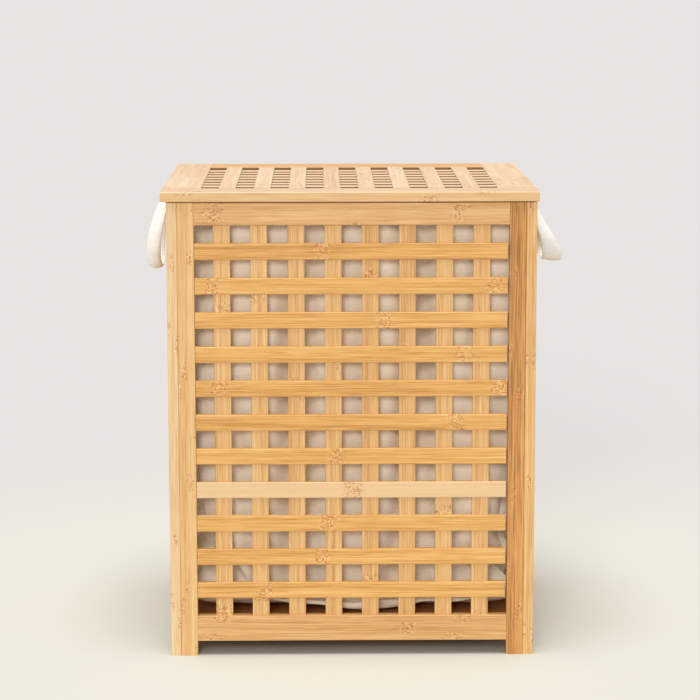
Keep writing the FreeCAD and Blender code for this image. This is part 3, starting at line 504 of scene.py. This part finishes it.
rim_z = bag_high.z - 0.001
foot_z = bag_low.z + 0.004
outline = round_the_box(half_x, half_y, AROUND, CORNER)
points = []
for level in range(DOWN + 1):
    drop = level / DOWN
    for number, (spot, way) in enumerate(outline):
        turn = 2 * math.pi * number / AROUND
        near_corner = abs(way.x * way.y) * 2
        wide_fold = (0.5 + 0.5 * math.sin(11 * turn + 1.9 * drop + 1.3)) ** 3
        slant_fold = (0.5 + 0.5 * math.sin(19 * turn - 5.5 * drop + 0.6)) ** 4
        small_fold = (0.5 + 0.5 * math.sin(34 * turn + 9.0 * drop + 2.0 * math.sin(5 * turn))) ** 2
        belly = math.sin(math.pi * min(1.0, drop + 0.03)) ** 0.35
        folds = 0.009 * wide_fold + 0.007 * slant_fold + 0.003 * small_fold
        inward = 0.0018 + belly * folds + 0.010 * drop ** 4
        corner_lift = (0.008 + 0.028 * near_corner ** 2) * drop ** 8
        slump = 0.006 * math.sin(3 * turn + 0.8) * drop ** 8
        spot = spot - way * inward
        points.append((spot.x, spot.y, rim_z + (foot_z - rim_z) * drop + corner_lift + abs(slump)))
liner = piece_of("liner_wall", points, bands(DOWN), liner_cloth)

# held at its rim and its sewn foot, the cloth settles; a negative shrink makes it grow a little and buckle
SETTLE_FRAMES = 36
held = liner.vertex_groups.new(name="held")
held.add(list(range(AROUND)) + list(range(DOWN * AROUND, (DOWN + 1) * AROUND)), 1.0, "REPLACE")
held.add(range(AROUND, 2 * AROUND), 0.6, "REPLACE")
cloth = liner.modifiers.new("cloth", "CLOTH")
cloth.settings.quality = 6
cloth.settings.mass = 0.12
cloth.settings.tension_stiffness = 12
cloth.settings.compression_stiffness = 12
cloth.settings.shear_stiffness = 4
cloth.settings.bending_stiffness = 0.25
cloth.settings.shrink_min = -0.06
cloth.settings.vertex_group_mass = "held"
cloth.settings.air_damping = 2.0
cloth.collision_settings.use_collision = False
scene = bpy.context.scene
cloth.point_cache.frame_start = 1
cloth.point_cache.frame_end = SETTLE_FRAMES
for number in range(1, SETTLE_FRAMES + 1):
    scene.frame_set(number)
settled = liner.evaluated_get(bpy.context.evaluated_depsgraph_get())
places = [vertex.co.copy() for vertex in settled.data.vertices]
liner.modifiers.remove(cloth)
scene.frame_set(1)
for vertex, spot in zip(liner.data.vertices, places):
    vertex.co = spot

# the folds stay off the panels and the base, and flatten softly over the last bit before the panels
FLATTEN = 0.004
for vertex in liner.data.vertices:
    for axis, limit in ((0, half_x - CLOTH_THICK), (1, half_y - CLOTH_THICK)):
        soft = limit - FLATTEN
        value = abs(vertex.co[axis])
        if value > soft:
            value = soft + FLATTEN * math.tanh((value - soft) / FLATTEN)
        vertex.co[axis] = math.copysign(value, vertex.co[axis])
    vertex.co.z = max(vertex.co.z, bag_low.z + CLOTH_THICK)

# the flat bottom, sewn to the strip's lower edge, lies on the board and is puckered near its seam
edge = [liner.data.vertices[DOWN * AROUND + number].co.copy() for number in range(AROUND)]
RINGS = 22
PUCKER = 0.0018
lie = bag_low.z + CLOTH_THICK + 0.0006
points = []
for ring in range(RINGS + 1):
    part = ring / RINGS
    for number, spot in enumerate(edge):
        turn = 2 * math.pi * number / AROUND
        near_seam = math.sin(math.pi * min(1, part * 2.2)) * (part < 0.45)
        pucker = PUCKER * math.sin(11 * turn + 5 * part) * near_seam
        height = lie + (spot.z - lie) * max(0.0, 1 - part * 3.2) ** 2 + abs(pucker)
        points.append((spot.x * (1 - part * 0.985), spot.y * (1 - part * 0.985), height))
faces = []
for ring in range(RINGS):
    for number in range(AROUND):
        after = (number + 1) % AROUND
        here, inner = ring * AROUND, (ring + 1) * AROUND
        faces.append((here + number, here + after, inner + after, inner + number))
faces.append(tuple(RINGS * AROUND + number for number in range(AROUND)))
bottom = piece_of("liner_bottom", points, faces, liner_cloth)


def thicken(piece, thick, rounds=1):
    """Give a cloth surface its thickness and smooth its facets, and keep the result."""
    solid = piece.modifiers.new("thickness", "SOLIDIFY")
    solid.thickness = thick
    solid.offset = -1
    if rounds:
        soft = piece.modifiers.new("smooth", "SUBSURF")
        soft.levels = soft.render_levels = rounds
    finished = bpy.data.meshes.new_from_object(piece.evaluated_get(bpy.context.evaluated_depsgraph_get()))
    piece.modifiers.clear()
    piece.data = finished
    for face in piece.data.polygons:
        face.use_smooth = True


THREAD_RADIUS = 0.00028
THREAD_SIDES = 5


def stitches(name, runs, lift, length, gap, material):
    """Rows of short thread stitches on both faces of a cloth. Each run gives spot, ahead, wide and face."""
    points, faces = [], []
    for frames in runs:
        reach = [0.0]
        for before, after in zip(frames, frames[1:]):
            reach.append(reach[-1] + (after[0] - before[0]).length)
        far = gap
        while far + length < reach[-1]:
            for side in (-1, 1):
                base = len(points)
                for end, swell in ((0.0, 0.35), (0.3, 1.0), (0.7, 1.0), (1.0, 0.35)):
                    here = far + end * length
                    number = max(place for place in range(len(frames) - 1) if reach[place] <= here)
                    part = (here - reach[number]) / (reach[number + 1] - reach[number])
                    spot, _, wide, face = [a.lerp(b, part) for a, b in zip(frames[number], frames[number + 1])]
                    for turn in range(THREAD_SIDES):
                        angle = 2 * math.pi * turn / THREAD_SIDES
                        way = wide * math.cos(angle) + face * math.sin(angle)
                        points.append(spot + face * side * lift + way * THREAD_RADIUS * swell)
                for ring in range(base, base + 3 * THREAD_SIDES, THREAD_SIDES):
                    for turn in range(THREAD_SIDES):
                        after = (turn + 1) % THREAD_SIDES
                        faces.append((ring + turn, ring + after,
                                      ring + THREAD_SIDES + after, ring + THREAD_SIDES + turn))
                faces.append(tuple(base + turn for turn in reversed(range(THREAD_SIDES))))
                faces.append(tuple(base + 3 * THREAD_SIDES + turn for turn in range(THREAD_SIDES)))
            far += length + gap
    return piece_of(name, points, faces, material)


# the hem: the strip's top edge turned over to the inside, with a row of stitches near its lower edge
HEM_ROWS = 3
HEM_IN = CLOTH_THICK * 1.3
SEAM_IN = CLOTH_THICK * 1.15
SEAM_UP = 0.003
HEM_STITCH, HEM_GAP = 0.0030, 0.0016
points = []
for level in range(HEM_ROWS + 1):
    for number, (_, way) in enumerate(outline):
        spot = liner.data.vertices[level * AROUND + number].co
        points.append((spot.x - way.x * HEM_IN, spot.y - way.y * HEM_IN, spot.z))
hem = piece_of("liner_hem", points, bands(HEM_ROWS), liner_cloth)
thread = cotton("sewing_thread", "#DCCDB2", "#EFE3CC", 0.0003)
frames = []
for number in range(AROUND + 1):
    _, way = outline[number % AROUND]
    spot, after = [liner.data.vertices[HEM_ROWS * AROUND + place % AROUND].co
                   for place in (number, number + 1)]
    middle = spot - Vector((way.x, way.y, 0)) * SEAM_IN + Vector((0, 0, SEAM_UP))
    ahead = (after - spot).normalized()
    frames.append((middle, ahead, Vector((0, 0, 1)), ahead.cross(Vector((0, 0, 1)))))
hem_thread = stitches("liner_hem_stitching", [frames], HEM_IN, HEM_STITCH, HEM_GAP, thread)

thicken(liner, CLOTH_THICK)
thicken(hem, CLOTH_THICK)
thicken(bottom, CLOTH_THICK, 0)
for piece in (liner, hem, hem_thread, bottom):
    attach(piece, "hamper")
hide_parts("liner_bag")

# ---------------------------------------------------------------- the two tape handles
# Folded cotton tape, stitched along both edges. Its ends are sewn inside the liner, and between them it comes
# out under the lid and hangs as a loop, twisting as it falls so that its face turns to the front.
TAPE_THICK = 0.0007
TAPE_WIDTH = 0.025
TAPE_STITCH, TAPE_GAP = 0.0022, 0.0012
tape_cloth = cotton("cotton_tape", "#F3EDE1", "#FFFCF5", THREAD, crease=0.12)


def ribbon_frames(stations, per_span):
    """A smooth run through given stations, each a centre point and a width direction."""
    frames = []
    count = len(stations)
    for span in range(count - 1):
        ends = [stations[max(0, min(count - 1, span + step))] for step in (-1, 0, 1, 2)]
        for number in range(per_span + (span == count - 2)):
            far = number / per_span
            blended = []
            for part in (0, 1):
                a, b, c, d = [Vector(end[part]) for end in ends]
                blended.append(0.5 * (2 * b + (c - a) * far + (2 * a - 5 * b + 4 * c - d) * far ** 2
                                      + (3 * b - a - 3 * c + d) * far ** 3))
            frames.append(blended)
    spots = [spot for spot, _ in frames]
    turned = []
    for number, (spot, wide) in enumerate(frames):
        ahead = (spots[min(len(spots) - 1, number + 1)] - spots[max(0, number - 1)]).normalized()
        wide = (wide - ahead * wide.dot(ahead)).normalized()
        turned.append((spot, ahead, wide, ahead.cross(wide)))
    return turned


def across(frames, far, width, cups):
    """The run along one place across a tape, far from -1 to 1. cups is half its curl at each frame."""
    run = []
    for (spot, ahead, wide, face), cup in zip(frames, cups):
        angle = far * cup
        side = width / 2 * math.sin(angle) / cup
        rise = width / 2 * (math.cos(angle) - math.cos(cup)) / cup
        run.append((spot + wide * side + face * rise, ahead, wide * math.cos(angle) - face * math.sin(angle),
                    face * math.cos(angle) + wide * math.sin(angle)))
    return run


def ribbon(name, frames, width, thick, cups, material):
    """A flat tape with turned edges, a little thicker along both sides, and cupped where it hangs."""
    profile = []
    for number in range(13):
        far = number / 12 * 2 - 1
        edge = 0.35 if abs(far) > 0.66 else 0.0
        profile.append((far, thick * (0.30 + edge * 0.4 - 0.12 * (abs(far) > 0.98))))
    section = profile + [(far, -rise) for far, rise in reversed(profile)]
    columns = [across(frames, far, width, cups) for far, _ in section]
    points = []
    for row in range(len(frames)):
        points += [column[row][0] + column[row][3] * rise for column, (_, rise) in zip(columns, section)]
    ring = len(section)
    faces = []
    for row in range(len(frames) - 1):
        for number in range(ring):
            after = (number + 1) % ring
            faces.append((row * ring + number, row * ring + after, (row + 1) * ring + after,
                          (row + 1) * ring + number))
    faces.append(tuple(reversed(range(ring))))
    faces.append(tuple((len(frames) - 1) * ring + number for number in range(ring)))
    return piece_of(name, points, faces, material)


# a hanging tape's front half, as places and the ways its width points. Places are out and down from the panel's
# outer top edge, with the middle of the panel at 0. The right tape hangs further out and flatter than the left.
HANGS = {
    "left": [((0.0033, -0.0418, -0.00455), (0.08, 1, 0)), ((0.0091, -0.0412, -0.01295), (0.40, 0.92, 0)),
             ((0.0179, -0.0385, -0.04395), (0.62, 0.78, 0)), ((0.0209, -0.0330, -0.06895), (0.76, 0.62, 0.06)),
             ((0.0209, -0.0230, -0.08045), (0.88, 0.42, 0.20)), ((0.0204, -0.0090, -0.08295), (0.9, 0.1, 0.26))],
    "right": [((0.0033, -0.0418, -0.00455), (0.08, 1, 0)), ((0.0069, -0.0412, -0.01895), (0.25, 0.95, 0)),
              ((0.0139, -0.0400, -0.03695), (0.46, 0.89, 0)), ((0.0214, -0.0370, -0.05495), (0.64, 0.77, 0)),
              ((0.0269, -0.0260, -0.07295), (0.80, 0.56, -0.05)), ((0.0284, -0.0090, -0.07945), (1, 0.1, -0.14))],
}
CUPPED = {"left": 1.25, "right": 0.5}   # half the tape's curl where it hangs, in radians
FLAT_UNTIL = 0.25                       # the share of its run over which a tape lies flat
CUPPED_FROM = 0.39                      # and the share from which it is cupped in full
for side, out in (("left", -1), ("right", 1)):
    tape_low, tape_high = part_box("handle_tape_" + side)
    inside = min(abs(tape_low.x), abs(tape_high.x)) + TAPE_THICK / 2
    wall = max(abs(tape_low.x), abs(tape_high.x))
    over = tape_high.z - TAPE_THICK / 2
    end_y = tape_high.y - TAPE_WIDTH / 2
    # first the still end inside the liner, then over the panel, then the hanging part
    front = [((inside, -end_y, height), (0, 1, 0)) for height in (tape_low.z, tape_low.z + 0.022, over - 0.005)]
    front += [((inside + 0.003, -end_y, over), (0, 1, 0)), ((wall - 0.003, -end_y, over), (0, 1, 0))]
    front += [((wall + x, y, over + z), width_way) for (x, y, z), width_way in HANGS[side]]
    # the back half is the front one seen in a mirror, with its width still pointing the same way round
    stations = [((out * x, y, z), (out * a, b, c)) for (x, y, z), (a, b, c) in front]
    stations += [((x, -y, z), (a, -b, c)) for (x, y, z), (a, b, c) in reversed(stations)]
    frames = ribbon_frames(stations, 8)
    cups = []
    for number in range(len(frames)):
        far = min(number, len(frames) - 1 - number) / (len(frames) - 1)
        hanging = min(1.0, max(0.0, (far - FLAT_UNTIL) / (CUPPED_FROM - FLAT_UNTIL)))
        cups.append(out * (0.01 + CUPPED[side] * hanging ** 2 * (3 - 2 * hanging)))
    tape = ribbon("handle_strap_" + side, frames, TAPE_WIDTH, TAPE_THICK, cups, tape_cloth)
    seams = [across(frames, far, TAPE_WIDTH, cups) for far in (-0.76, 0.76)]
    rows = stitches("handle_stitching_" + side, seams, TAPE_THICK * 0.44, TAPE_STITCH, TAPE_GAP, thread)
    for piece in (tape, rows):
        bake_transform(piece)
    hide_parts("handle_tape_" + side, "handle_loop_" + side)
